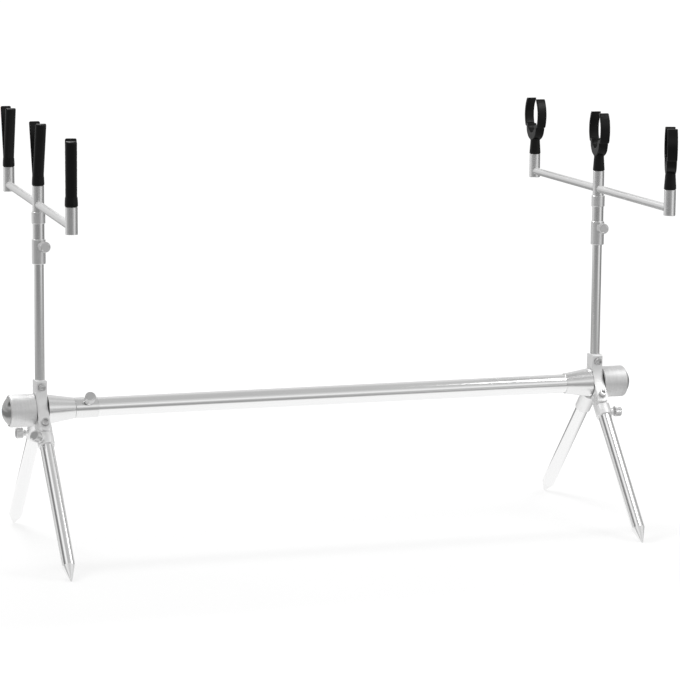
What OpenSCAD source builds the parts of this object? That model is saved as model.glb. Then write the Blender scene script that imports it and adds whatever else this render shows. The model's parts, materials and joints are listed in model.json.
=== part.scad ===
// Rod pod for three rods: a telescopic bar between two hub brackets. Each bracket carries two
// spiked legs and an upright, and each upright carries a cross-bar with three rests.
// +X runs from the rear end to the front end, +Y to the left, +Z up. The floor is Z = 0.

/* [Main bar] */
// Distance between the centre planes of the two hub brackets
hub_spacing = 767; // [700:1:900]
// Height of the bar axis above the floor
axis_h = 185; // [150:1:240]
// Outside diameter of the outer bar tube
bar_d = 25; // [23:0.5:30]
// Wall of the outer bar tube
bar_wall = 1.5; // [1:0.1:2.5]
// Length of the inner bar tube, which slides in the outer one
inner_l = 480; // [300:1:600]
// Wall of the inner bar tube
inner_wall = 1.5; // [1:0.1:2.5]
// Wall of the clamp sleeve on the outer tube, and of the cones at their small ends
sleeve_wall = 1; // [0.8:0.1:2]
// Length of the clamp sleeve
sleeve_l = 30; // [26:1:45]
// Distance from the rear face of the sleeve to its thumbscrew
sleeve_screw_at = 17; // [12:0.5:19]
// Angle of the sleeve's thumbscrew above the horizontal
sleeve_screw_tilt = 42; // [0:1:90]
// Length of the guide bush in the mouth of the sleeve
bush_l = 4; // [2:0.5:6]
// Large diameter of the cones
cone_d = 38.5; // [34:0.5:44]
// Length of the cones
cone_l = 36; // [30:1:50]
// Depth of the tube seats in the cones
tube_seat = 20; // [12:1:21]

/* [Hub brackets] */
// Thickness of the bracket along the bar
bracket_t = 14.5; // [13:0.5:18]
// Outside radius of the bracket's ring
ring_r = 14; // [12:0.5:14.5]
// Depth of the top block across the bar
block_depth = 20; // [18:0.5:24]
// Height of the top block above the bar axis
block_top = 39; // [37:0.5:48]
// Corner radius of the top block
block_corner = 2; // [0.5:0.5:4]
// Radius of the hollow between the top block and each tongue
block_fillet = 35; // [25:1:45]
// Height above the bar axis of the screw that clamps the upright
block_screw_h = 30.5; // [28:0.5:32]
// Floor of metal between the journal and the foot of the upright rod
foot_floor = 3; // [2:0.5:4]
// Diameter of the journal that the bracket swivels on
journal_d = 16; // [13:0.5:18]
// Distance from the bar axis to the tip of each leg tongue
tongue_tip = 39.5; // [37:0.5:44]
// Inner face of the tongues, measured out from the leg axis
tongue_in = 4.5; // [4:0.25:6]
// Outer face of the tongues, measured out from the leg axis
tongue_out = 13.5; // [12:0.25:15]
// Distance from the bar axis to the screw in each tongue
tongue_screw_at = 28.5; // [28:0.25:31]
// Diameter of the friction washers
washer_d = 35; // [28:0.5:38]
// Thickness of the friction washers
washer_t = 1; // [0.5:0.1:2]

/* [Bracket screws] */
// Diameter of the screw heads
screw_head_d = 9; // [7:0.25:10]
// Height of the screw heads
screw_head_l = 6; // [4:0.25:7]
// Diameter of the screw shanks
screw_d = 4.5; // [3:0.25:5]
// Depth that the screw heads are let in
screw_sunk = 0.75; // [0.5:0.25:2]
// Length of each tongue screw past the leg axis
screw_past = 2; // [1:0.25:3]
// Width across the corners of the key sockets
key_d = 6; // [4:0.1:6.2]

/* [End knobs] */
// Diameter of the end knobs
knob_d = 42; // [41.5:0.5:46]
// Length of the end knobs
knob_l = 33; // [28:1:45]
// Edge radius of the end knobs
knob_edge = 2.5; // [1:0.25:2.75]
// Diameter of the domed caps in the end knobs
cap_d = 36; // [24:0.5:36.5]
// Height of the dome of the caps
cap_dome = 8; // [2:0.5:10]
// Depth that the caps are let into the knobs
cap_seat = 2; // [1:0.25:3]
// Diameter of the thread that the end knobs run on
knob_thread_d = 10; // [8:0.5:12]
// Length of that thread
knob_thread_l = 24; // [15:1:25]

/* [Legs] */
// Angle of the legs from the vertical
leg_angle = 43; // [35:0.5:48]
// Outside diameter of the leg tubes
leg_d = 17.5; // [15:0.5:18]
// Wall of the leg tubes
leg_wall = 1.2; // [0.8:0.1:2]
// Outside diameter of the leg sockets
socket_d = 21.5; // [20.5:0.25:24]
// Clearance between the leg sockets and the end knobs
socket_clear = 2.25; // [1.5:0.25:3]
// Distance from the bar axis to the mouth of each leg socket
socket_mouth = 56; // [54:0.5:70]
// Depth of the leg sockets
socket_depth = 15.5; // [13:0.5:16]
// Distance from the bar axis to the thumbscrew of each leg socket
socket_screw_at = 48.5; // [46:0.5:50]
// Length of the spikes
spike_l = 21; // [15:1:40]
// Length of the spigot that holds each spike in its tube
spigot_l = 14; // [8:1:30]
// Radius of the blunted spike points
spike_tip_r = 1; // [0.6:0.1:2]

/* [Thumbscrews] */
// Diameter of the thumbscrew heads
thumb_d = 14; // [10:0.5:18]
// Length of the thumbscrew heads
thumb_l = 9; // [6:0.5:14]
// Edge chamfer of the thumbscrew heads
thumb_edge = 0.8; // [0.3:0.1:1.5]
// Diameter of the thumbscrew threads
thumb_thread_d = 5; // [4:0.5:6]
// Length of thread that shows under the head
thumb_neck = 2.5; // [1:0.5:5]
// Diameter of the threaded bosses
boss_d = 9.5; // [8:0.5:11]
// Height of the threaded bosses
boss_h = 2.5; // [1.5:0.5:5]

/* [Uprights] */
// Diameter of the upright rods
rod_d = 12.5; // [10:0.5:13]
// Wall of the upright rods
rod_wall = 2; // [1:0.25:3]
// Length of upright rod that shows between the top block and the stem
rod_shown = 149.5; // [60:0.5:250]
// Diameter of the stem sleeves
stem_sleeve_d = 17.5; // [17:0.25:20]
// Length of the stem sleeves
stem_sleeve_l = 31.5; // [30:0.5:45]
// Distance from the bottom of the stem sleeve to its thumbscrew
stem_screw_at = 23.5; // [10:0.5:24]
// Diameter of the stem tubes
stem_tube_d = 15; // [14.2:0.1:15.4]
// Length of stem tube that shows between the sleeve and the lock collar
stem_shown = 20; // [15:0.5:60]
// Length of stem tube inside the sleeve
stem_lap = 3.5; // [2:0.5:5]
// Thickness of the threaded plug in the top of the stem tube
stem_plug = 8; // [5:0.5:12]
// Diameter of the lock collars
collar_d = 17.5; // [15.5:0.25:22]
// Length of the lock collars
collar_l = 14.8; // [8:0.2:20]
// Turn of the stems about their uprights, from the right side: rear, front
stem_turn = [11, 0];
// Edge chamfer of the turned sleeves, sockets, collars and posts
turned_edge = 0.5; // [0.2:0.1:0.8]

/* [Cross-bars] */
// Distance from the middle post to each outer post
post_spread = 240; // [150:1:300]
// Diameter of the cross-bars
cross_d = 10; // [7:0.5:11]
// Diameter of the posts
post_d = 15; // [13:0.5:18]
// Turn of the cross-bars about their uprights: rear, front
cross_turn = [-2.9, -0.8];
// Length of post below the axis of the cross-bar
post_below = 9; // [7:0.5:14]
// Length of post above the axis of the cross-bar
post_above = 24.5; // [22:0.5:40]
// Diameter of the stud that joins each cross-bar to its stem
join_stud_d = 8; // [6:0.5:9]
// Diameter of the studs under the rests
rest_stud_d = 9.5; // [7:0.5:10]
// Length of the studs under the rests
rest_stud_l = 11; // [6:0.5:12]

/* [Rod rests] */
// Width of the rod rests along the rod
rest_w = 13; // [10:0.5:18]
// Height of the rod rests
rest_h = 78; // [70:1:95]
// Greatest width of the rod rests
rest_span = 52; // [48:1:60]
// Height at which the rod rests are widest
rest_wide_at = 55; // [52:1:60]
// Radius of the sides of the rod rests
rest_side_r = 38; // [32:1:60]
// Wall of the rod rests
rest_wall = 4; // [3:0.25:5]
// Height of the shoulder between the lower cup and the ring
rest_shoulder = 38; // [35:0.5:40]
// Outside radius of the lower cup
cup_r = 18.5; // [16:0.5:19.5]
// Height of the ledge over the lower cup
cup_ledge = 42; // [40:0.5:47]
// Inside radius of the lower cup
cup_in_r = 12; // [10:0.2:14]
// Diameter of the rests at the bottom
rest_base_d = 16; // [15.5:0.5:18]
// Diameter of the neck of the rod rests
rest_neck_d = 13; // [11:0.5:13]
// Turn of the rod rests about their posts: left, middle, right
rod_rest_turn = [1, -3.5, -18.5];

/* [Butt rests] */
// Height of the butt rests
butt_h = 80; // [60:1:100]
// Diameter of the butt rests where the prongs part
prong_d = 14.5; // [12:0.5:15]
// Height of the straight ring at the bottom of the butt rests
butt_ring_h = 4; // [2:0.5:8]
// Height at which the prongs part
prong_from = 11; // [9:0.5:14]
// Lean of each prong
prong_lean = 14; // [8:0.5:18]
// Width of the slot between the prongs at its foot
prong_slot = 1; // [0.8:0.1:3]
// Step from the prongs to the foot that carries them
prong_step = 0.4; // [0.3:0.1:1]
// Radius of the top edges of the prongs
prong_edge = 2; // [0.5:0.25:3]
// Turn of the butt rests about their posts: left, middle, right
butt_rest_turn = [1.5, 3.5, -9.5];

/* [Clearances] */
// Radial clearance of a fit that slides or turns
running_gap = 0.05; // [0.02:0.01:0.1]
// Radial clearance of a fit that is bonded or screwed up tight
bond_gap = 0.02; // [0:0.01:0.05]
// Clearance between flat faces that turn on each other
face_gap = 0.1; // [0.05:0.05:0.3]
// Clearance between the ends of pieces that come apart
end_gap = 0.4; // [0.2:0.1:1]
// Clearance at the tip of a thumbscrew
tip_gap = 0.2; // [0.1:0.05:0.5]

/* [Hidden] */
$fn = 64;
cut = 1;

ALLOY = [0.80, 0.81, 0.83];
BLASTED = [0.70, 0.71, 0.72];
DARK_ALLOY = [0.40, 0.41, 0.42];
STEEL = [0.60, 0.61, 0.63];
RUBBER = [0.07, 0.07, 0.07];
NYLON = [0.15, 0.15, 0.16];

ENDS = ["rear", "front"];
SIDES = ["left", "right"];
PLACES = ["left", "middle", "right"];

function way(end) = end == "front" ? 1 : -1;
function across(place) = place == "left" ? 1 : place == "right" ? -1 : 0;

// Bar: diameters, and places along X
sleeve_d = bar_d + 2 * sleeve_wall;
inner_d = bar_d - 2 * bar_wall - 2 * running_gap;
hub_face = bracket_t / 2 + washer_t + face_gap;
cone_small_x = hub_spacing / 2 - hub_face - cone_l;
sleeve_x = -cone_small_x + end_gap;
main_x = sleeve_x + bush_l;
main_l = cone_small_x + tube_seat - main_x;

// Leg: places along the leg axis, measured from the bar axis
foot_at = axis_h / cos(leg_angle);
foot_y = axis_h * tan(leg_angle);
socket_top = knob_d / 2 + socket_clear;
lap_end = tongue_tip + end_gap;
leg_top = socket_mouth - socket_depth + end_gap;
spike_from = foot_at - spike_l;

// Upright: places above the bar axis
rod_foot = journal_d / 2 + foot_floor;
stem_bottom = block_top + rod_shown;
stem_screw_h = stem_bottom + stem_screw_at;
sleeve_top = stem_bottom + stem_sleeve_l;
stem_top = sleeve_top + stem_shown;
rod_top = stem_top - stem_plug - end_gap;
post_foot = stem_top + collar_l + 2 * face_gap;
cross_h = post_foot + post_below;
post_top = cross_h + post_above;
join_stud_l = collar_l + 2 * face_gap + stem_plug;

// Places a piece at one end of the bar, with its own +X pointing away from the bar
module at_end(end) {
    translate([way(end) * hub_spacing / 2, 0, axis_h])
        mirror([way(end) < 0 ? 1 : 0, 0, 0])
            children();
}

// Places a piece along a leg: its own +Z points down the leg, its own -Y outwards and up
module at_leg(side) {
    mirror([0, across(side) < 0 ? 1 : 0, 0])
        rotate([180 + leg_angle, 0, 0])
            children();
}

module along_x() {
    rotate([0, 90, 0]) children();
}

module tube(d, wall, l) {
    difference() {
        cylinder(d = d, h = l);
        translate([0, 0, -cut]) cylinder(d = d - 2 * wall, h = l + 2 * cut);
    }
}

// A turned rod along Z with chamfered ends
module turned(d, l) {
    rotate_extrude()
        polygon([[0, 0], [d / 2 - turned_edge, 0], [d / 2, turned_edge], [d / 2, l - turned_edge],
                 [d / 2 - turned_edge, l], [0, l]]);
}

// A rod along Z whose top edge is rounded
module round_topped(d, l, edge) {
    rotate_extrude() {
        square([d / 2 - edge, l]);
        square([d / 2, l - edge]);
        translate([d / 2 - edge, l - edge]) circle(r = edge);
    }
}

// A cap screw along Z: the head stands on Z = 0 and the shank hangs below it
module cap_screw(shank_l) {
    difference() {
        union() {
            cylinder(d = screw_head_d, h = screw_head_l);
            translate([0, 0, -shank_l]) cylinder(d = screw_d, h = shank_l);
        }
        translate([0, 0, screw_head_l / 2]) cylinder(d = key_d, h = screw_head_l, $fn = 6);
    }
}

// The room that a cap screw needs
module cap_screw_hole(shank_l) {
    cylinder(d = screw_head_d + 4 * running_gap, h = screw_sunk + cut);
    translate([0, 0, -shank_l]) cylinder(d = screw_d + 2 * bond_gap, h = shank_l + cut);
}

// A thumbscrew along Z, from just clear of the tube that it clamps to its head over the boss
module thumbscrew(clamped_d, carrier_d) {
    tip = clamped_d / 2 + tip_gap;
    head = carrier_d / 2 + boss_h + thumb_neck;
    color(ALLOY) {
        translate([0, 0, tip]) cylinder(d = thumb_thread_d, h = head - tip + thumb_edge);
        translate([0, 0, head])
            rotate_extrude()
                polygon([[0, 0], [thumb_d / 2 - thumb_edge, 0], [thumb_d / 2, thumb_edge],
                         [thumb_d / 2, thumb_l - thumb_edge], [thumb_d / 2 - thumb_edge, thumb_l],
                         [0, thumb_l]]);
    }
}

module boss(carrier_d) {
    cylinder(d = boss_d, h = carrier_d / 2 + boss_h);
}

module thumbscrew_hole(carrier_d) {
    cylinder(d = thumb_thread_d + 2 * running_gap, h = carrier_d / 2 + boss_h + cut);
}

// Main bar

module rear_tube() {
    color(ALLOY)
        translate([-cone_small_x - tube_seat, 0, axis_h])
            along_x() tube(inner_d, inner_wall, inner_l);
}

module at_sleeve_screw() {
    translate([sleeve_x + sleeve_screw_at, 0, axis_h])
        rotate([90 - sleeve_screw_tilt, 0, 0])
            children();
}

module main_tube() {
    color(ALLOY) difference() {
        translate([main_x, 0, axis_h]) along_x() tube(bar_d, bar_wall, main_l);
        at_sleeve_screw() thumbscrew_hole(sleeve_d);
    }
}

module bar_sleeve() {
    color(ALLOY) difference() {
        union() {
            translate([sleeve_x, 0, axis_h]) along_x() turned(sleeve_d, sleeve_l);
            at_sleeve_screw() boss(sleeve_d);
        }
        translate([sleeve_x - cut, 0, axis_h])
            along_x() cylinder(d = bar_d + 2 * bond_gap, h = sleeve_l + 2 * cut);
        at_sleeve_screw() thumbscrew_hole(sleeve_d);
    }
}

module bar_bush() {
    color(NYLON)
        translate([sleeve_x, 0, axis_h])
            along_x() tube(bar_d, bar_wall, bush_l);
}

module bar_thumbscrew() {
    at_sleeve_screw() thumbscrew(inner_d, sleeve_d);
}

module cone(end) {
    tube_d = end == "front" ? bar_d : inner_d;
    color(ALLOY) at_end(end) difference() {
        translate([-hub_face - cone_l, 0, 0])
            along_x() cylinder(d1 = sleeve_d, d2 = cone_d, h = cone_l);
        translate([-hub_face - cone_l - cut, 0, 0])
            along_x() cylinder(d = tube_d + 2 * bond_gap, h = tube_seat + cut);
        translate([-hub_face - cone_l, 0, 0])
            along_x() cylinder(d = knob_thread_d + 2 * bond_gap, h = cone_l + cut);
    }
}

// Journal for the bracket, with a tail screwed into the cone and the knob's thread outside
module stud(end) {
    tail_l = cone_l - tube_seat;
    color(STEEL) at_end(end) along_x() {
        translate([0, 0, -hub_face - tail_l]) cylinder(d = knob_thread_d, h = tail_l);
        translate([0, 0, -hub_face]) cylinder(d = journal_d, h = 2 * hub_face - face_gap);
        cylinder(d = knob_thread_d, h = hub_face + knob_thread_l);
    }
}

// Hub brackets

module block_outline() {
    side = block_depth / 2 - block_corner;
    translate([-block_depth / 2, 0]) square([block_depth, block_top - block_corner]);
    translate([-side, 0]) square([2 * side, block_top]);
    for (x = [-side, side]) translate([x, block_top - block_corner]) circle(r = block_corner);
}

// A point in the plane of the bracket, from its distances along a leg and out from the leg axis
function beside_leg(along, out) = [along * sin(leg_angle) + out * cos(leg_angle),
                                   out * sin(leg_angle) - along * cos(leg_angle)];

// Centre of the hollow, and the place along the leg where it runs out into the flat of the tongue
hollow_x = block_depth / 2 + block_fillet;
hollow_z = (tongue_out + block_fillet - hollow_x * cos(leg_angle)) / sin(leg_angle);
flat_from = hollow_x * sin(leg_angle) - hollow_z * cos(leg_angle);
root_end = socket_top - end_gap;

// The web between the block and the root of a tongue, hollow on top, drawn for one side
module saddle() {
    difference() {
        polygon([[0, 0], beside_leg(root_end, 0), beside_leg(root_end, tongue_out),
                 beside_leg(flat_from, tongue_out), [hollow_x, hollow_z], [block_depth / 2, hollow_z]]);
        translate([hollow_x, hollow_z]) circle(r = block_fillet);
    }
}

module tongue() {
    from = (flat_from + root_end) / 2;
    round_at = tongue_tip - bracket_t / 2;
    translate([0, -tongue_in, 0])
        rotate([90, 0, 0])
            linear_extrude(tongue_out - tongue_in) {
                translate([-bracket_t / 2, from]) square([bracket_t, round_at - from]);
                translate([0, round_at]) circle(d = bracket_t);
            }
}

module at_block_screw() {
    translate([0, screw_sunk - block_depth / 2, block_screw_h])
        rotate([90, 0, 0])
            children();
}

module at_tongue_screw() {
    translate([0, screw_sunk - tongue_out, tongue_screw_at])
        rotate([90, 0, 0])
            children();
}

block_screw_l = block_depth / 2 - screw_sunk - rod_d / 2 - bond_gap;
tongue_screw_l = tongue_out - screw_sunk + screw_past;

module bracket(end) {
    color(ALLOY) at_end(end) difference() {
        union() {
            rotate([90, 0, 90]) linear_extrude(bracket_t, center = true) {
                circle(r = ring_r);
                block_outline();
                saddle();
                mirror([1, 0]) saddle();
            }
            for (side = SIDES) at_leg(side) tongue();
        }
        translate([-bracket_t, 0, 0])
            along_x() cylinder(d = journal_d + 2 * running_gap, h = 2 * bracket_t);
        translate([0, 0, rod_foot]) cylinder(d = rod_d + 2 * bond_gap, h = block_top);
        at_block_screw() cap_screw_hole(block_screw_l + bond_gap);
        for (side = SIDES) at_leg(side) at_tongue_screw() cap_screw_hole(tongue_screw_l);
    }
}

module bracket_screws(end) {
    color(STEEL) at_end(end) {
        at_block_screw() cap_screw(block_screw_l);
        for (side = SIDES) at_leg(side) at_tongue_screw() cap_screw(tongue_screw_l);
    }
}

module washers(end) {
    color(NYLON) at_end(end)
        for (x = [-bracket_t / 2 - washer_t, bracket_t / 2])
            translate([x, 0, 0]) along_x() difference() {
                cylinder(d = washer_d, h = washer_t);
                translate([0, 0, -cut])
                    cylinder(d = journal_d + 2 * running_gap, h = washer_t + 2 * cut);
            }
}

// End knobs

module knob(end) {
    color(BLASTED) at_end(end) translate([hub_face, 0, 0]) along_x() difference() {
        round_topped(knob_d, knob_l, knob_edge);
        translate([0, 0, knob_l - cap_seat]) cylinder(d = cap_d + 2 * bond_gap, h = cap_seat + cut);
        translate([0, 0, -cut])
            cylinder(d = knob_thread_d + 2 * running_gap, h = knob_thread_l + end_gap + cut);
    }
}

module knob_cap(end) {
    dome_r = (pow(cap_d / 2, 2) + pow(cap_dome, 2)) / (2 * cap_dome);
    color(DARK_ALLOY) at_end(end) translate([hub_face + knob_l, 0, 0]) along_x() {
        translate([0, 0, -cap_seat]) cylinder(d = cap_d, h = cap_seat);
        intersection() {
            cylinder(d = cap_d, h = cap_dome);
            translate([0, 0, cap_dome - dome_r]) sphere(r = dome_r);
        }
    }
}

// Legs

// Turn of each leg's thumbscrew about the leg, from straight out along the bar towards the top
function leg_screw_turn(end, side) = (end == "rear") == (side == "right") ? 43 : 0;

module at_leg_screw(end, side) {
    translate([0, 0, socket_screw_at])
        rotate([0, 0, -leg_screw_turn(end, side)])
            along_x() children();
}

module socket(end, side) {
    color(ALLOY) at_end(end) at_leg(side) difference() {
        union() {
            translate([0, 0, socket_top]) turned(socket_d, socket_mouth - socket_top);
            at_leg_screw(end, side) boss(socket_d);
        }
        translate([-socket_d, -socket_d - tongue_in, socket_top - cut])
            cube([2 * socket_d, socket_d, lap_end - socket_top + cut]);
        translate([0, 0, socket_mouth - socket_depth])
            cylinder(d = leg_d + 2 * running_gap, h = socket_depth + cut);
        at_leg_screw(end, side) thumbscrew_hole(socket_d);
        at_tongue_screw() cap_screw_hole(tongue_screw_l);
    }
}

module leg_tube(end, side) {
    color(ALLOY) at_end(end) at_leg(side)
        translate([0, 0, leg_top]) tube(leg_d, leg_wall, spike_from - leg_top);
}

// Turned point with a spigot in the tube, its tip ground flat where it meets the floor
module spike(end, side) {
    room = leg_d;
    color(ALLOY) difference() {
        at_end(end) at_leg(side) {
            translate([0, 0, spike_from - spigot_l])
                cylinder(d = leg_d - 2 * leg_wall - 2 * bond_gap, h = spigot_l + cut);
            translate([0, 0, spike_from])
                cylinder(r1 = leg_d / 2, r2 = spike_tip_r, h = spike_l + spike_tip_r);
        }
        translate([way(end) * hub_spacing / 2 - room, across(side) * foot_y - room, -room])
            cube([2 * room, 2 * room, room]);
    }
}

module leg_thumbscrew(end, side) {
    at_end(end) at_leg(side) at_leg_screw(end, side) thumbscrew(leg_d, socket_d);
}

// Uprights

module upright_rod(end) {
    color(DARK_ALLOY) at_end(end)
        translate([0, 0, rod_foot]) tube(rod_d, rod_wall, rod_top - rod_foot);
}

module at_stem_screw(end) {
    turn = end == "rear" ? stem_turn[0] : stem_turn[1];
    translate([0, 0, stem_screw_h])
        rotate([0, 0, way(end) * turn])
            rotate([90, 0, 0]) children();
}

module stem_sleeve(end) {
    color(ALLOY) at_end(end) difference() {
        union() {
            translate([0, 0, stem_bottom]) turned(stem_sleeve_d, stem_sleeve_l);
            at_stem_screw(end) boss(stem_sleeve_d);
        }
        translate([0, 0, stem_bottom - cut])
            cylinder(d = rod_d + 2 * running_gap, h = stem_sleeve_l + 2 * cut);
        translate([0, 0, sleeve_top - stem_lap])
            cylinder(d = stem_tube_d + 2 * bond_gap, h = stem_lap + cut);
        at_stem_screw(end) thumbscrew_hole(stem_sleeve_d);
    }
}

module stem_tube(end) {
    color(ALLOY) at_end(end) difference() {
        translate([0, 0, sleeve_top - stem_lap]) cylinder(d = stem_tube_d, h = stem_lap + stem_shown);
        translate([0, 0, sleeve_top - stem_lap - cut])
            cylinder(d = rod_d + 2 * running_gap, h = stem_lap + stem_shown - stem_plug + cut);
        cylinder(d = join_stud_d + 2 * running_gap, h = stem_top + cut);
    }
}

module stem_thumbscrew(end) {
    at_end(end) at_stem_screw(end) thumbscrew(rod_d, stem_sleeve_d);
}

module lock_collar(end) {
    color(ALLOY) at_end(end) translate([0, 0, stem_top + face_gap]) difference() {
        turned(collar_d, collar_l);
        translate([0, 0, -cut]) cylinder(d = join_stud_d + 2 * running_gap, h = collar_l + 2 * cut);
    }
}

// Cross-bars

// Places a piece on a cross-bar, turned with it
module on_cross_bar(end) {
    turn = end == "rear" ? cross_turn[0] : cross_turn[1];
    at_end(end) rotate([0, 0, way(end) * turn]) children();
}

module cross_bar(end) {
    reach = post_spread + cross_d / 4;
    color(ALLOY) on_cross_bar(end)
        translate([0, reach, cross_h]) rotate([90, 0, 0]) cylinder(d = cross_d, h = 2 * reach);
}

// A post with the seat of the cross-bar and the thread for a rest
module post(y) {
    seat_l = 2 * post_spread + cross_d / 2;
    difference() {
        translate([0, y, post_foot]) turned(post_d, post_top - post_foot);
        translate([0, seat_l / 2, cross_h])
            rotate([90, 0, 0]) cylinder(d = cross_d + 2 * bond_gap, h = seat_l);
        translate([0, y, post_top - rest_stud_l - end_gap])
            cylinder(d = rest_stud_d + 2 * running_gap, h = rest_stud_l + end_gap + cut);
    }
}

module middle_post(end) {
    color(ALLOY) on_cross_bar(end) {
        post(0);
        translate([0, 0, post_foot - join_stud_l]) cylinder(d = join_stud_d, h = join_stud_l);
    }
}

module outer_posts(end) {
    color(ALLOY) on_cross_bar(end)
        for (side = SIDES) post(across(side) * post_spread);
}

// Rests

module rest_stud() {
    translate([0, 0, -rest_stud_l - face_gap]) cylinder(d = rest_stud_d, h = rest_stud_l + face_gap);
}

// Two leaning arcs that meet the greatest width at the height where the rest is widest
module ring_outline(wall) {
    r = rest_side_r - wall;
    lean = rest_span / 2 - rest_side_r;
    intersection() {
        translate([lean, rest_wide_at]) circle(r = r);
        translate([-lean, rest_wide_at]) circle(r = r);
    }
}

module rod_rest() {
    foot_h = rest_shoulder - cup_r + cut;
    color(RUBBER) {
        rest_stud();
        cylinder(d1 = rest_base_d, d2 = rest_neck_d, h = foot_h + cut);
        rotate([90, 0, 90]) linear_extrude(rest_w, center = true) difference() {
            union() {
                translate([0, rest_shoulder]) circle(r = cup_r);
                intersection() {
                    ring_outline(0);
                    translate([-rest_span, rest_shoulder]) square([2 * rest_span, rest_h - rest_shoulder]);
                }
            }
            translate([0, cup_ledge]) circle(r = cup_in_r);
            intersection() {
                ring_outline(rest_wall);
                translate([-rest_span, cup_ledge]) square([2 * rest_span, rest_h]);
            }
        }
    }
}

// One prong, rooted in the foot: a leaning round bar with a flat inner side
module prong() {
    l = (butt_h - prong_from) / cos(prong_lean);
    root = prong_slot;
    translate([0, 0, prong_from]) rotate([-prong_lean, 0, 0]) intersection() {
        translate([0, 0, -root]) round_topped(prong_d, l + root, prong_edge);
        translate([-prong_d, prong_slot / 2, -root - cut]) cube([2 * prong_d, prong_d, l + root + 2 * cut]);
    }
}

module butt_rest() {
    color(RUBBER) {
        rest_stud();
        rotate_extrude()
            polygon([[0, 0], [rest_base_d / 2, 0], [rest_base_d / 2, butt_ring_h],
                     [prong_d / 2 + prong_step, prong_from], [0, prong_from]]);
        prong();
        mirror([0, 1, 0]) prong();
    }
}

module rest(end, place) {
    turn = end == "rear" ? butt_rest_turn : rod_rest_turn;
    on_cross_bar(end) translate([0, across(place) * post_spread, post_top + face_gap])
        rotate([0, 0, way(end) * turn[1 - across(place)]])
            if (end == "rear") butt_rest();
            else rod_rest();
}

// The pieces

rear_tube();
main_tube();
bar_sleeve();
bar_bush();
bar_thumbscrew();

for (end = ENDS) {
    cone(end);
    stud(end);
    bracket(end);
    washers(end);
    bracket_screws(end);
    knob(end);
    knob_cap(end);
    upright_rod(end);
    stem_sleeve(end);
    stem_tube(end);
    stem_thumbscrew(end);
    lock_collar(end);
    cross_bar(end);
    middle_post(end);
    outer_posts(end);
}

for (end = ENDS, side = SIDES) {
    socket(end, side);
    leg_tube(end, side);
    spike(end, side);
    leg_thumbscrew(end, side);
}

for (end = ENDS, place = PLACES) {
    rest(end, place);
}
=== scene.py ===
# A rod pod: telescopic bar, two hub brackets on spiked legs, two uprights with three rests each.
# Every section below finishes one kind of piece, in the order in which the pod goes together.
# Lengths are in metres.
import json
import math

import bpy
from mathutils import Matrix, Vector

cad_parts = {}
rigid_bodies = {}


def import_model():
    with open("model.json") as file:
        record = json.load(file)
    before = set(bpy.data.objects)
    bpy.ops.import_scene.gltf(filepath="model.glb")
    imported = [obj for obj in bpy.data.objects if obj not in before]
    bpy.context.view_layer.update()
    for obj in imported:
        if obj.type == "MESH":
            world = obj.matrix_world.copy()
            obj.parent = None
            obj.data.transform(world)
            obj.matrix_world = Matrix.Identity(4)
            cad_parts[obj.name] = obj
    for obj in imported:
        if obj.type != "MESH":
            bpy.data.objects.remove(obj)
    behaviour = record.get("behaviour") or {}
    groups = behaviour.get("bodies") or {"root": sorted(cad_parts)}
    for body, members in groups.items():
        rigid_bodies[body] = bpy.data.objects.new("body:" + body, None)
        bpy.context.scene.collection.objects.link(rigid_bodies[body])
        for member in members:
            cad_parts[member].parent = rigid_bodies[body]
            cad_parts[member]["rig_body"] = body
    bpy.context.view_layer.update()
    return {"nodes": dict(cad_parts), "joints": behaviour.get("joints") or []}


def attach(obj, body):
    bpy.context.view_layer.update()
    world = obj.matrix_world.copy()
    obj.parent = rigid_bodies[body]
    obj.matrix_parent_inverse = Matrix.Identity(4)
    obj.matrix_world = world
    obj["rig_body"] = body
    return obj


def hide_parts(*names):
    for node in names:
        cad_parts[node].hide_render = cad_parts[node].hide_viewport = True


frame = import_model()
nodes = frame["nodes"]


# Bar tubes
# Two drawn aluminium tubes that telescope, bright and anodised clear.
# The die leaves faint lines along them, which a Noise stretched along the tube draws.
DIE_LINE_WIDTH = 0.0005
DIE_LINE_LENGTH = 0.12
DIE_LINE_DEPTH = 0.000004
TUBE_HAZE_WIDTH = 0.012
TUBE_HAZE_LENGTH = 0.05
# Turns that lay the length of a grain along an axis of the pod
ALONG_X = (0, math.radians(90), 0)
ALONG_Z = (0, 0, 0)


class Wire:
    """An output of a node. Sums on wires add Math nodes, and node() adds any other node."""

    def __init__(self, tree, output=None):
        self.tree = tree
        self.output = output

    def feed(self, node, inputs):
        """Links the sockets of a node to wires, or sets them to plain values."""
        for name, value in inputs.items():
            if isinstance(value, Wire):
                self.tree.links.new(value.output, node.inputs[name])
            else:
                node.inputs[name].default_value = value

    def node(self, kind, settings=None, inputs=None, output=0):
        """The output of a new node, whose settings are made before its sockets are fed."""
        made = self.tree.nodes.new(kind)
        for name, value in (settings or {}).items():
            if name == "stops":
                stops = made.color_ramp.elements
                while len(stops) < len(value):
                    stops.new(1)
                for stop, (position, tone) in zip(stops, value):
                    stop.position = position
                    stop.color = (tone, tone, tone, 1)
            else:
                setattr(made, name, value)
        self.feed(made, inputs or {})
        return Wire(self.tree, made.outputs[output])

    def other(self, output):
        """Another output of the same node."""
        return Wire(self.tree, self.output.node.outputs[output])

    def maths(self, operation, first, second):
        """A Math node on two wires, or on a wire and a number."""
        return self.node("ShaderNodeMath", {"operation": operation}, {0: first, 1: second})

    def __add__(self, value):
        return self.maths("ADD", self, value)

    def __sub__(self, value):
        return self.maths("SUBTRACT", self, value)

    def __rsub__(self, value):
        return self.maths("SUBTRACT", value, self)

    def __mul__(self, value):
        return self.maths("MULTIPLY", self, value)

    __radd__ = __add__
    __rmul__ = __mul__


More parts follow.
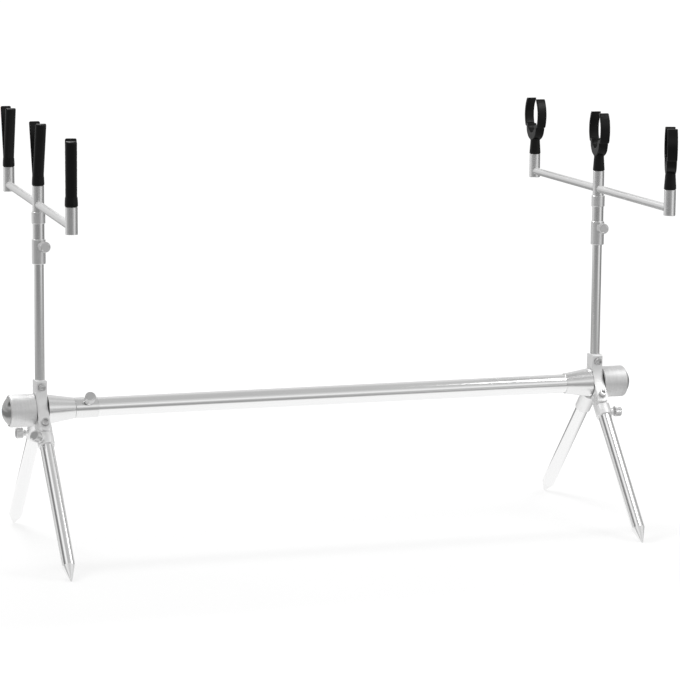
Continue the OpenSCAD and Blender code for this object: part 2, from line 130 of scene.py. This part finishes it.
def new_finish(name):
    """A material with a bare Principled shader: the material, the shader and a wire to start from."""
    material = bpy.data.materials.new(name)
    material.use_nodes = True
    return material, material.node_tree.nodes["Principled BSDF"], Wire(material.node_tree)


def grain(wire, width, length=None, turn=ALONG_Z, detail=4):
    """Noise from 0 to 1 in grains of that width and length in metres. The turn gives their long axis."""
    place = wire.node("ShaderNodeTexCoord", output="Object")
    scaled = wire.node("ShaderNodeMapping", {"vector_type": "TEXTURE"},
                       {"Vector": place, "Rotation": turn, "Scale": (width, width, length or width)})
    return wire.node("ShaderNodeTexNoise", inputs={"Vector": scaled, "Scale": 1, "Detail": detail})


def shade(wire, share, dark, light):
    """A grey between two tones. A Mix node has its colours on sockets 6 and 7 and on output 2."""
    tones = {6: (dark, dark, dark, 1), 7: (light, light, light, 1)}
    return wire.node("ShaderNodeMix", {"data_type": "RGBA"}, {"Factor": share, **tones}, output=2)


def relief(wire, height, depth):
    """A bumpy Normal of that depth in metres."""
    return wire.node("ShaderNodeBump", inputs={"Height": height, "Distance": depth, "Strength": 1})


def drawn_alloy(name, turn):
    """Bright drawn aluminium, with lines along the axis that the turn gives."""
    material, shader, wire = new_finish(name)
    lines = grain(wire, DIE_LINE_WIDTH, DIE_LINE_LENGTH, turn)
    haze = grain(wire, TUBE_HAZE_WIDTH, TUBE_HAZE_LENGTH, turn)
    wire.feed(shader, {
        "Base Color": shade(wire, lines, dark=0.84, light=0.93),
        "Metallic": 1,
        "Roughness": 0.10 + 0.08 * lines + 0.06 * haze,
        "Normal": relief(wire, lines, DIE_LINE_DEPTH)})
    return material


def dress(node, finish):
    """Gives a CAD node its finish and leaves its shape alone."""
    mesh = nodes[node].data
    mesh.materials.clear()
    mesh.materials.append(finish)


bar_finish = drawn_alloy("drawn_bar", ALONG_X)
dress("rear_tube", bar_finish)
dress("main_tube", bar_finish)


# Clamp sleeve and cones
# Turned aluminium: the sleeve is pressed on the main tube, and a cone ends each tube at its hub.
# The lathe tool leaves fine rings across the axis, so they look softer than the tubes.
ENDS = ("rear", "front")
RING_SPREAD = 0.05
RING_PITCH = 0.00035
RING_DEPTH = 0.000012
RING_CONTRAST = 0.05
TURNED_HAZE = 0.006


def turned_alloy(name, turn, roughness, tone=0.83):
    """Satin turned aluminium, with rings round the axis that the turn gives."""
    material, shader, wire = new_finish(name)
    rings = grain(wire, RING_SPREAD, RING_PITCH, turn)
    haze = grain(wire, TURNED_HAZE, turn=turn)
    wire.feed(shader, {
        "Base Color": shade(wire, rings, dark=tone - RING_CONTRAST, light=tone + RING_CONTRAST),
        "Metallic": 1,
        "Roughness": roughness - 0.06 + 0.10 * rings + 0.05 * haze,
        "Normal": relief(wire, rings, RING_DEPTH)})
    return material


dress("bar_sleeve", turned_alloy("turned_sleeve", ALONG_X, roughness=0.16))
cone_finish = turned_alloy("turned_cone", ALONG_X, roughness=0.22)
for end in ENDS:
    dress(f"{end}_cone", cone_finish)


# Guide bush and friction washers
# Moulded black nylon rings: the bush guides the inner tube in the mouth of the clamp sleeve, and the
# washers let each bracket swivel between its cone and its knob. Seen as thin dark lines.
NYLON_PORE = 0.0006
NYLON_PORE_DEPTH = 0.00002


def moulded_nylon(name):
    """Matt black nylon with fine pores."""
    material, shader, wire = new_finish(name)
    pores = grain(wire, NYLON_PORE)
    wire.feed(shader, {
        "Base Color": shade(wire, pores, dark=0.018, light=0.032),
        "Roughness": 0.5 + 0.2 * pores,
        "Normal": relief(wire, pores, NYLON_PORE_DEPTH)})
    return material


nylon_finish = moulded_nylon("black_nylon")
for node in ("bar_bush", "rear_washers", "front_washers"):
    dress(node, nylon_finish)


# Hub brackets and leg sockets
# Aluminium castings, tumbled bright so that every edge is round. The bracket swivels on its stud,
# and a socket is screwed to the flat of each of its two tongues.
SIDES = ("left", "right")
BRACKET_EDGE = 0.0008
SOCKET_EDGE = 0.0004
PEBBLE = 0.0009
PEBBLE_DEPTH = 0.00004
CAST_CLOUD = 0.008
MERGE_WITHIN = 0.000002
FLAT_WITHIN = math.radians(0.3)
SHARP_FROM = math.radians(38)
SMOOTH_BELOW = math.radians(35)


def cast_alloy(name):
    """Tumbled aluminium: a fine pebbled skin with soft cloudy patches."""
    material, shader, wire = new_finish(name)
    pebbles = grain(wire, PEBBLE)
    clouds = grain(wire, CAST_CLOUD)
    wire.feed(shader, {
        "Base Color": shade(wire, clouds, dark=0.88, light=0.97),
        "Metallic": 1,
        "Roughness": 0.44 + 0.14 * pebbles + 0.10 * clouds,
        "Normal": relief(wire, pebbles, PEBBLE_DEPTH)})
    return material


def copy_for(node, pattern):
    """A copy of the pattern with a mesh of its own, named for a CAD node and the only piece selected."""
    piece = bpy.data.objects.new(f"{node}_finished", pattern.data.copy())
    bpy.context.scene.collection.objects.link(piece)
    bpy.ops.object.select_all(action="DESELECT")
    piece.select_set(True)
    bpy.context.view_layer.objects.active = piece
    return piece


def merged_copy(node):
    """A copy of a CAD node whose loose triangles are joined into one skin."""
    piece = copy_for(node, nodes[node])
    bpy.ops.object.mode_set(mode="EDIT")
    bpy.ops.mesh.select_all(action="SELECT")
    bpy.ops.mesh.remove_doubles(threshold=MERGE_WITHIN)
    bpy.ops.mesh.customdata_custom_splitnormals_clear()
    bpy.ops.object.mode_set(mode="OBJECT")
    return piece


def stand_in(piece, node, finish):
    """Puts a finished piece in the place of its CAD node, on the same body."""
    piece.data.materials.clear()
    piece.data.materials.append(finish)
    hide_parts(node)
    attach(piece, nodes[node]["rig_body"])


def round_off(node, edge, finish, steps=3):
    """Puts a copy whose sharp edges are rounded to that radius in the place of a CAD node."""
    piece = merged_copy(node)
    bpy.ops.object.mode_set(mode="EDIT")
    bpy.ops.mesh.dissolve_limited(angle_limit=FLAT_WITHIN)
    bpy.ops.object.mode_set(mode="OBJECT")
    bpy.ops.object.modifier_add(type="BEVEL")
    bevel = piece.modifiers[-1]
    bevel.width = edge
    bevel.segments = steps
    bevel.limit_method = "ANGLE"
    bevel.angle_limit = SHARP_FROM
    bpy.ops.object.modifier_apply(modifier=bevel.name)
    bpy.ops.object.shade_smooth_by_angle(angle=SMOOTH_BELOW)
    stand_in(piece, node, finish)


cast_finish = cast_alloy("tumbled_casting")
for end in ENDS:
    round_off(f"{end}_bracket", BRACKET_EDGE, cast_finish)
    for side in SIDES:
        round_off(f"{end}_{side}_socket", SOCKET_EDGE, cast_finish)


# Bracket screws and hub studs
# Zinc-plated steel. The cap screws clamp the upright and hold the leg sockets, and the studs,
# which the hubs hide, carry the bracket and the thread of the knob.
SCREW_EDGE = 0.0004
ZINC_BLOOM = 0.002
ZINC_BLOOM_DEPTH = 0.00001


def plated_steel(name):
    """Bright zinc plate with a faint uneven bloom."""
    material, shader, wire = new_finish(name)
    bloom = grain(wire, ZINC_BLOOM)
    wire.feed(shader, {
        "Base Color": shade(wire, bloom, dark=0.58, light=0.74),
        "Metallic": 1,
        "Roughness": 0.22 + 0.16 * bloom,
        "Normal": relief(wire, bloom, ZINC_BLOOM_DEPTH)})
    return material


steel_finish = plated_steel("zinc_plate")
for end in ENDS:
    round_off(f"{end}_bracket_screws", SCREW_EDGE, steel_finish, steps=2)
    dress(f"{end}_stud", steel_finish)


# End knobs
# Turned aluminium knobs, bead-blasted for grip, that clamp each bracket against its cone. The blasting
# leaves a close matt grain over the traces of the lathe. A dark polished cap is let into each face.
KNOB_EDGE = 0.0006
BEAD = 0.0007
BEAD_DEPTH = 0.00005
LATHE_TRACE_SPREAD = 0.03
LATHE_TRACE_PITCH = 0.0012
KNOB_CLOUD = 0.003
CAP_SMEAR = 0.004


def blasted_alloy(name):
    """Matt blasted aluminium, faintly ringed and clouded."""
    material, shader, wire = new_finish(name)
    beads = grain(wire, BEAD, detail=6)
    traces = grain(wire, LATHE_TRACE_SPREAD, LATHE_TRACE_PITCH, ALONG_X)
    clouds = grain(wire, KNOB_CLOUD)
    wire.feed(shader, {
        "Base Color": shade(wire, 0.5 * traces + 0.5 * clouds, dark=0.62, light=0.92),
        "Metallic": 1,
        "Roughness": 0.42 + 0.10 * beads + 0.12 * clouds,
        "Normal": relief(wire, beads + 0.5 * traces, BEAD_DEPTH)})
    return material


def polished_metal(name):
    """Dark polished metal with faint smears."""
    material, shader, wire = new_finish(name)
    smears = grain(wire, CAP_SMEAR)
    wire.feed(shader, {
        "Base Color": shade(wire, smears, dark=0.38, light=0.48),
        "Metallic": 1,
        "Roughness": 0.10 + 0.08 * smears})
    return material


blasted_finish = blasted_alloy("blasted_knob")
cap_finish = polished_metal("polished_cap")
for end in ENDS:
    round_off(f"{end}_knob", KNOB_EDGE, blasted_finish)
    dress(f"{end}_knob_cap", cap_finish)


# Legs
# Bright drawn tubes that slide in the sockets, each with a turned spike bonded into its foot.
# The grain of both follows the lean of the leg, which the axis of its slide gives.
joint_of = {joint["child"]: joint for joint in frame["joints"]}
for side in SIDES:
    slide = Vector(joint_of[f"rear_{side}_leg"]["axis"])
    lean = (math.atan2(slide.y, -slide.z), 0, 0)
    leg_finish = drawn_alloy(f"drawn_{side}_leg", lean)
    spike_finish = turned_alloy(f"turned_{side}_spike", lean, roughness=0.16)
    for end in ENDS:
        dress(f"{end}_{side}_leg_tube", leg_finish)
        dress(f"{end}_{side}_spike", spike_finish)


# Uprights, stems and lock collars
# The rod is bright drawn alloy. The stem that slides on it is a turned sleeve with a short tube,
# and the plain turned collar above locks the cross-bar.
rod_finish = drawn_alloy("drawn_rod", ALONG_Z)
stem_finish = turned_alloy("turned_stem", ALONG_Z, roughness=0.30)
tube_finish = turned_alloy("turned_stem_tube", ALONG_Z, roughness=0.20)
for end in ENDS:
    dress(f"{end}_upright_rod", rod_finish)
    dress(f"{end}_stem_sleeve", stem_finish)
    dress(f"{end}_lock_collar", stem_finish)
    dress(f"{end}_stem_tube", tube_finish)


# Cross-bars and posts
# A round aluminium bar, turned satin, with three turned posts bonded over it to take the rests.
# The middle post has a stud below, which passes the lock collar and screws into the stem.
ALONG_Y = (math.radians(90), 0, 0)
cross_finish = turned_alloy("turned_cross_bar", ALONG_Y, roughness=0.34, tone=0.82)
post_finish = turned_alloy("turned_post", ALONG_Z, roughness=0.24)
for end in ENDS:
    dress(f"{end}_cross_bar", cross_finish)
    dress(f"{end}_middle_post", post_finish)
    dress(f"{end}_outer_posts", post_finish)


# Thumbscrews
# Turned from grey aluminium rod, they clamp the bar, the stems and the legs at their lengths.
# The head has a straight knurl, eased rims and a dished end, and a plain shank stands for the thread.
THUMB_RADIUS = 0.0070
THUMB_LENGTH = 0.0090
SHANK_RADIUS = 0.0025
SHANK_LENGTH = 0.004
RIM = 0.0008
DISH_DEPTH = 0.0005
DISH_RADIUS = THUMB_RADIUS - 2 * RIM
DISH_FLOOR_RADIUS = THUMB_RADIUS - 2.6 * RIM
DISH_CENTRE_RADIUS = 0.0008
KNURL_TEETH = 36
KNURL_DEPTH = 0.00035
KNURL_SMOOTH_BELOW = math.radians(25)


def lathe(profile, sides):
    """A turned shape along Z: a disc drawn out from radius to radius, so that both ends are closed."""
    radius, height = profile[0]
    bpy.ops.object.select_all(action="DESELECT")
    bpy.ops.mesh.primitive_circle_add(vertices=sides, radius=radius, fill_type="NGON")
    bpy.ops.object.mode_set(mode="EDIT")
    bpy.ops.mesh.select_all(action="SELECT")
    bpy.ops.transform.translate(value=(0, 0, height))
    for new_radius, new_height in profile[1:]:
        bpy.ops.mesh.extrude_region_move(TRANSFORM_OT_translate={"value": (0, 0, new_height - height)})
        bpy.ops.transform.resize(value=(new_radius / radius, new_radius / radius, 1))
        radius, height = new_radius, new_height
    bpy.ops.mesh.select_all(action="SELECT")
    bpy.ops.mesh.normals_make_consistent(inside=False)
    bpy.ops.object.mode_set(mode="OBJECT")
    return bpy.context.object


def open_at(piece, chosen):
    """Opens the active piece for editing, with only the chosen points selected."""
    bpy.ops.object.mode_set(mode="EDIT")
    bpy.ops.mesh.select_all(action="DESELECT")
    bpy.ops.object.mode_set(mode="OBJECT")
    for vertex in piece.data.vertices:
        vertex.select = chosen(vertex.co)
    bpy.ops.object.mode_set(mode="EDIT")


def in_groove(point):
    """True for every other line of points round the grip."""
    line = round(math.atan2(point.y, point.x) / math.pi * KNURL_TEETH)
    return point.xy.length > THUMB_RADIUS - RIM / 2 and line % 2 == 0


def at_shank_end(point):
    """True for the ring of points at the tip of the shank."""
    return point.z < 0


thumb = lathe([
    (SHANK_RADIUS, -SHANK_LENGTH), (SHANK_RADIUS, 0), (THUMB_RADIUS - RIM, 0), (THUMB_RADIUS, RIM),
    (THUMB_RADIUS, THUMB_LENGTH - RIM), (THUMB_RADIUS - RIM, THUMB_LENGTH), (DISH_RADIUS, THUMB_LENGTH),
    (DISH_FLOOR_RADIUS, THUMB_LENGTH - DISH_DEPTH), (DISH_CENTRE_RADIUS, THUMB_LENGTH - DISH_DEPTH)],
    sides=2 * KNURL_TEETH)
thumb.name = "thumbscrew_pattern"
open_at(thumb, in_groove)
groove = 1 - KNURL_DEPTH / THUMB_RADIUS
bpy.ops.transform.resize(value=(groove, groove, 1), center_override=(0, 0, 0))
bpy.ops.object.mode_set(mode="OBJECT")
bpy.ops.object.shade_smooth_by_angle(angle=KNURL_SMOOTH_BELOW)
thumb_finish = turned_alloy("turned_thumbscrew", ALONG_Z, roughness=0.32, tone=0.66)
thumbscrews = ["bar_thumbscrew"] + [f"{end}_stem_thumbscrew" for end in ENDS]
thumbscrews += [f"{end}_{side}_leg_thumbscrew" for end in ENDS for side in SIDES]
for node in thumbscrews:
    axis = Vector(joint_of[node]["axis"])
    foot = Vector(joint_of[node]["pos_m"])
    reach = [(vertex.co - foot).dot(axis) for vertex in nodes[node].data.vertices]
    head = max(reach) - THUMB_LENGTH
    piece = copy_for(node, thumb)
    open_at(piece, at_shank_end)
    bpy.ops.transform.translate(value=(0, 0, min(reach) - head + SHANK_LENGTH))
    bpy.ops.object.mode_set(mode="OBJECT")
    piece.location = foot + head * axis
    piece.rotation_euler = axis.to_track_quat("Z", "Y").to_euler()
    bpy.ops.object.transform_apply(location=True, rotation=True, scale=True)
    stand_in(piece, node, thumb_finish)
bpy.data.objects.remove(thumb)


# Rests
# One-piece mouldings in black rubber that screw into the posts: forked butt rests at the rear and
# cupped rod rests at the front. The mould rounds every edge and blends the head into its foot.
PLACES = ("left", "middle", "right")
MOULD_STEP = 0.0006
MOULD_EASE = 0.5
MOULD_PASSES = 6
RUBBER_SKIN = 0.0005
RUBBER_SKIN_DEPTH = 0.00003
RUBBER_BLOOM = 0.012


def moulded_rubber(name):
    """Satin black rubber with a close grain and a faint bloom."""
    material, shader, wire = new_finish(name)
    skin = grain(wire, RUBBER_SKIN)
    bloom = grain(wire, RUBBER_BLOOM)
    wire.feed(shader, {
        "Base Color": shade(wire, bloom, dark=0.002, light=0.004),
        "Specular IOR Level": 0.22,
        "Roughness": 0.22 + 0.12 * skin + 0.08 * bloom,
        "Normal": relief(wire, skin, RUBBER_SKIN_DEPTH)})
    return material


rubber_finish = moulded_rubber("black_rubber")
for node in [f"{end}_{place}_rest" for end in ENDS for place in PLACES]:
    piece = merged_copy(node)
    bpy.ops.object.modifier_add(type="REMESH")
    remesh = piece.modifiers[-1]
    remesh.mode = "VOXEL"
    remesh.voxel_size = MOULD_STEP
    bpy.ops.object.modifier_apply(modifier=remesh.name)
    bpy.ops.object.modifier_add(type="SMOOTH")
    smooth = piece.modifiers[-1]
    smooth.factor = MOULD_EASE
    smooth.iterations = MOULD_PASSES
    bpy.ops.object.modifier_apply(modifier=smooth.name)
    bpy.ops.object.shade_smooth()
    stand_in(piece, node, rubber_finish)


# Studio walls
# A dim studio, which the bright metal mirrors. One ramp shades the wall on the camera's side and one
# the wall beyond the pod, and soft patches stand for windows, cards and dark corners.
# The camera's turn round the pod, and the level direction in which it looks
VIEW_TURN = math.radians(18.06)
SIGHT = (math.sin(VIEW_TURN), math.cos(VIEW_TURN), 0)
NEAR_WALL_TO = -0.5
FAR_WALL_FROM = 0.6
# Each stop of a wall is a height, from 0 straight down to 1 overhead, and a tone.
NEAR_WALL = ((0.00, 0.40), (0.50, 0.44), (0.54, 0.48), (0.59, 0.67), (0.65, 1.00), (0.69, 1.00),
             (0.76, 0.75), (0.83, 0.55), (1.00, 0.52))
FAR_WALL = ((0.00, 0.72), (0.60, 0.75), (0.68, 0.82), (0.85, 0.78), (0.95, 0.60), (1.00, 0.52))
# Each patch is the direction to its centre, its reach in degrees and its tone.
WALL_PATCHES = (((-0.80, 0.17, 0.57), 22, 0.22), ((-0.45, -0.15, 0.88), 18, 1.05),
                ((0.56, -0.05, 0.83), 15, 0.80), ((0.86, 0.30, 0.40), 20, 0.35))


def facing(direction, centre):
    """The cosine of the angle between a direction and a fixed one."""
    return direction.node("ShaderNodeVectorMath", {"operation": "DOT_PRODUCT"},
                          {0: direction, 1: centre}, output="Value")


def soft_step(value, start, full):
    """0 at the start and 1 where it is full, with a soft passage between them."""
    return value.node("ShaderNodeMapRange", {"interpolation_type": "SMOOTHSTEP"},
                      {"Value": value, "From Min": start, "From Max": full})


def soft_patch(direction, centre, reach):
    """1 near the direction to its centre, up to a third of its reach in degrees, and 0 past its reach."""
    rim = math.cos(math.radians(reach))
    core = math.cos(math.radians(reach / 3))
    return soft_step(facing(direction, Vector(centre).normalized()), rim, core)


world = bpy.data.worlds.new("studio_light")
bpy.context.scene.world = world
world.use_nodes = True
wire = Wire(world.node_tree)
towards = wire.node("ShaderNodeTexCoord", output="Generated")
rise = 0.5 + 0.5 * wire.node("ShaderNodeSeparateXYZ", inputs={0: towards}, output="Z")
near_wall = wire.node("ShaderNodeValToRGB", {"stops": NEAR_WALL}, {0: rise})
far_wall = wire.node("ShaderNodeValToRGB", {"stops": FAR_WALL}, {0: rise})
beyond = soft_step(facing(towards, SIGHT), NEAR_WALL_TO, FAR_WALL_FROM)
sky = near_wall + beyond * (far_wall - near_wall)
for centre, reach, tone in WALL_PATCHES:
    sky = sky + soft_patch(towards, centre, reach) * (tone - sky)
seen = wire.node("ShaderNodeLightPath", output="Is Camera Ray")
wire.feed(world.node_tree.nodes["Background"], {"Color": sky + seen * (1 - sky), "Strength": 1})


# Paper floor
# A bright sheet of paper with soft edges on a dim floor, which the bright metal mirrors. There the sheet
# glows with painted light, and painted patches of light and shade lie far off on it. The camera sees
# white paper all round, with the pod's shadow on it.
FLOOR_SIZE = 60
SHEET_LEFT = 0.62
SHEET_RIGHT = 0.40
SHEET_NEAR = 0.35
SHEET_FAR = 0.42
SHEET_EDGE = 0.2
# The sheet's glow, seen only in the metal, is painted light.
SHEET_GLOW = 1.06
FLOOR_TONE = 0.38
PATCHES_FROM = 1.6
PATCHES_FULL = 2.7
# Each painted patch, of light or of shade, is the direction to its centre, its reach in degrees and its
# tone, as on the walls.
PAINTED_FLOOR_PATCHES = (((-0.67, 0.74, 0), 50, 0.80), ((0.31, 0.95, 0), 30, 0.30),
                 ((-0.55, -0.84, 0), 45, 0.22), ((0.64, -0.77, 0), 24, 0.95),
                 ((0.96, 0.29, 0), 40, 0.20))
# The camera sees this white, a little less of it on the sheet, and what doesn't glow takes the shadow.
SEEN_WHITE = 1.35
SEEN_DROP_ON_SHEET = 0.23
SEEN_GLOW_SHARE = 0.6
PAPER_COLOUR = (0.9, 0.9, 0.9, 1)

bpy.ops.mesh.primitive_plane_add(size=FLOOR_SIZE)
floor = bpy.context.object
floor.name = "paper_floor"
paper = bpy.data.materials.new("white_paper")
paper.use_nodes = True
wire = Wire(paper.node_tree)
spot = wire.node("ShaderNodeTexCoord", output="Object")
across = wire.node("ShaderNodeSeparateXYZ", inputs={0: spot}, output="X")
depth = across.other("Y")
sheet = 1
for offset, limit in ((0 - across, SHEET_LEFT), (across, SHEET_RIGHT),
                      (0 - depth, SHEET_NEAR), (depth, SHEET_FAR)):
    sheet = sheet * soft_step(offset, limit + SHEET_EDGE, limit)
bearing = wire.node("ShaderNodeVectorMath", {"operation": "NORMALIZE"}, {0: spot})
distance = wire.node("ShaderNodeVectorMath", {"operation": "LENGTH"}, {0: spot}, output="Value")
far_off = wire.node("ShaderNodeMapRange", inputs={
    "Value": distance, "From Min": PATCHES_FROM, "From Max": PATCHES_FULL})
room = FLOOR_TONE
for centre, reach, tone in PAINTED_FLOOR_PATCHES:
    room = room + far_off * soft_patch(bearing, centre, reach) * (tone - room)
# What the metal mirrors: the painted glow of the sheet over the dim floor, with the floor's painted
# patches of light and shade.
lit = room + sheet * (SHEET_GLOW - room)
seen = wire.node("ShaderNodeLightPath", output="Is Camera Ray")
mirrored = seen.other("Is Glossy Ray") + seen.other("Is Transmission Ray")
glow = lit + seen * (SEEN_WHITE - SEEN_DROP_ON_SHEET * sheet - lit)
bare = wire.node("ShaderNodeBsdfDiffuse", inputs={"Color": PAPER_COLOUR})
bright = wire.node("ShaderNodeEmission", inputs={"Color": glow, "Strength": 1})
mix = wire.node("ShaderNodeMixShader", inputs={0: SEEN_GLOW_SHARE * seen + mirrored, 1: bare, 2: bright})
wire.feed(paper.node_tree.nodes["Material Output"], {"Surface": mix})
floor.data.materials.append(paper)


# Softboxes
# Two soft lamps: the key hangs over the front of the pod, and the rim light stands behind its rear.
# Each has a name, a place, the point that it is aimed at, a width, and a power in watts.
SOFTBOXES = (("key_softbox", (0.82, -0.32, 1.05), (0.48, 0, 0.19), 0.44, 1.8),
             ("rim_softbox", (-0.60, 0.9, 1.8), (-0.3, 0, 0.2), 1.0, 12))
SOFTBOX_HEIGHT = 0.35
for name, stand, aim, width, power in SOFTBOXES:
    bpy.ops.object.light_add(type="AREA", location=stand)
    lamp = bpy.context.object
    lamp.name = name
    lamp.data.shape = "RECTANGLE"
    lamp.data.size = width
    lamp.data.size_y = SOFTBOX_HEIGHT
    lamp.data.energy = power
    lamp.rotation_euler = (Vector(aim) - lamp.location).to_track_quat("-Z", "Y").to_euler()


# Camera
# A long lens, a little above the bar and to the rear of its middle, as the photograph was taken.
# It stands back from the middle of the bar, a little right of it and above it, so that the pod sits
# in the frame as it does there.
SENSOR = 36
FOCAL_PX = 3000
PHOTO_PX = 680
DIP = math.radians(9.12)
ROLL = math.radians(0.43)
BAR_MIDDLE = Vector((0, 0, 0.185))
STAND_BACK = 3.9586
STAND_RIGHT = 0.0193
STAND_UP = 0.0731
look = math.cos(DIP) * Vector(SIGHT) - math.sin(DIP) * Vector((0, 0, 1))
level = Vector((math.cos(VIEW_TURN), -math.sin(VIEW_TURN), 0))
upward = level.cross(look)
right = math.cos(ROLL) * level + math.sin(ROLL) * upward
up = math.cos(ROLL) * upward - math.sin(ROLL) * level
viewpoint = BAR_MIDDLE + STAND_RIGHT * right + STAND_UP * up - STAND_BACK * look
bpy.ops.object.camera_add()
camera = bpy.context.object
camera.data.sensor_width = SENSOR
camera.data.lens = SENSOR * FOCAL_PX / PHOTO_PX
camera.matrix_world = Matrix.Translation(viewpoint) @ Matrix((right, up, -look)).transposed().to_4x4()
bpy.context.scene.camera = camera
bpy.context.scene.view_settings.view_transform = "Standard"
